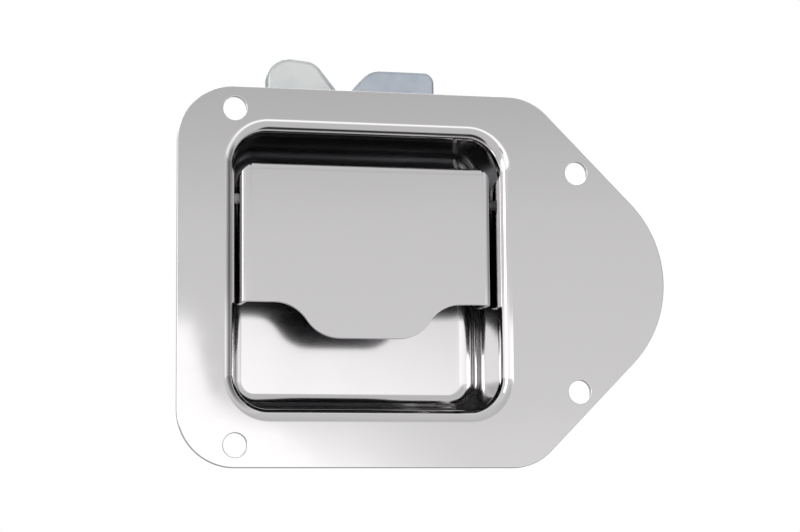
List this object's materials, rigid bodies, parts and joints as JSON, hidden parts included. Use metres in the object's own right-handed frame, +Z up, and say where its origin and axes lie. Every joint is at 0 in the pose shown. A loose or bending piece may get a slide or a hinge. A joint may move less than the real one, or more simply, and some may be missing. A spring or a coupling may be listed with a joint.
{
  "type": "paddle handle slam latch",
  "caption": "Flush paddle-handle slam latch: recessed stainless pan with a hinged paddle that releases a sprung jaw above the plate's top edge.",
  "frame": {"origin": "on the flange's back plane, at the middle of the recess's width and halfway up the plate", "axes": "+X to the right seen from the front, towards the plate's rounded nose; +Y into the door or lid; +Z up, towards the jaw"},
  "size_m": [0.1524, 0.0421, 0.1306],
  "materials": {
    "polished_stainless": "bright polished stainless sheet",
    "zinc_plate": "clear-blue zinc-plated steel",
    "pale_zinc": "pale zinc-plated hardened steel",
    "spring_steel": "bright drawn spring wire and pin stock"
  },
  "bodies": {
    "pan": {"faceplate_pan": "polished_stainless", "paddle_pin": "spring_steel", "pin_push_nut": "spring_steel", "paddle_spring": "spring_steel", "latch_base_plate": "zinc_plate", "latch_cover_plate": "zinc_plate", "jaw_pivot_rivet": "zinc_plate", "jaw_stop_rivet": "zinc_plate", "guide_spacer_rivet": "zinc_plate", "spring_post": "zinc_plate", "jaw_spring": "spring_steel", "weld_stud_1": "polished_stainless", "weld_stud_2": "polished_stainless", "weld_stud_3": "polished_stainless", "stud_washer_1": "zinc_plate", "stud_washer_2": "zinc_plate", "stud_washer_3": "zinc_plate", "stud_nut_1": "zinc_plate", "stud_nut_2": "zinc_plate", "stud_nut_3": "zinc_plate"},
    "handle": {"paddle": "polished_stainless", "release_arm": "zinc_plate"},
    "jaw": {"jaw": "pale_zinc", "jaw_spring_pin": "zinc_plate"}
  },
  "joints": [
    {"name": "paddle_hinge", "type": "hinge", "parent": "pan", "child": "handle", "pos_m": [0, 0.007, 0.0243], "axis": [-1, 0, 0], "range_deg": [0, 24], "stiffness_Nm_per_rad": 0.35, "springref_deg": -20.05, "deforming": ["paddle_spring"]},
    {"name": "jaw_pivot", "type": "hinge", "parent": "pan", "child": "jaw", "pos_m": [-0.0004, 0.0326, 0.01992], "axis": [0, -1, 0], "range_deg": [0, 22], "stiffness_Nm_per_rad": 0.3, "springref_deg": -22.92, "deforming": ["jaw_spring"]}
  ],
  "couplings": [
    {"joint": "jaw_pivot", "follows": "paddle_hinge", "ratio": 0.91667}
  ]
}
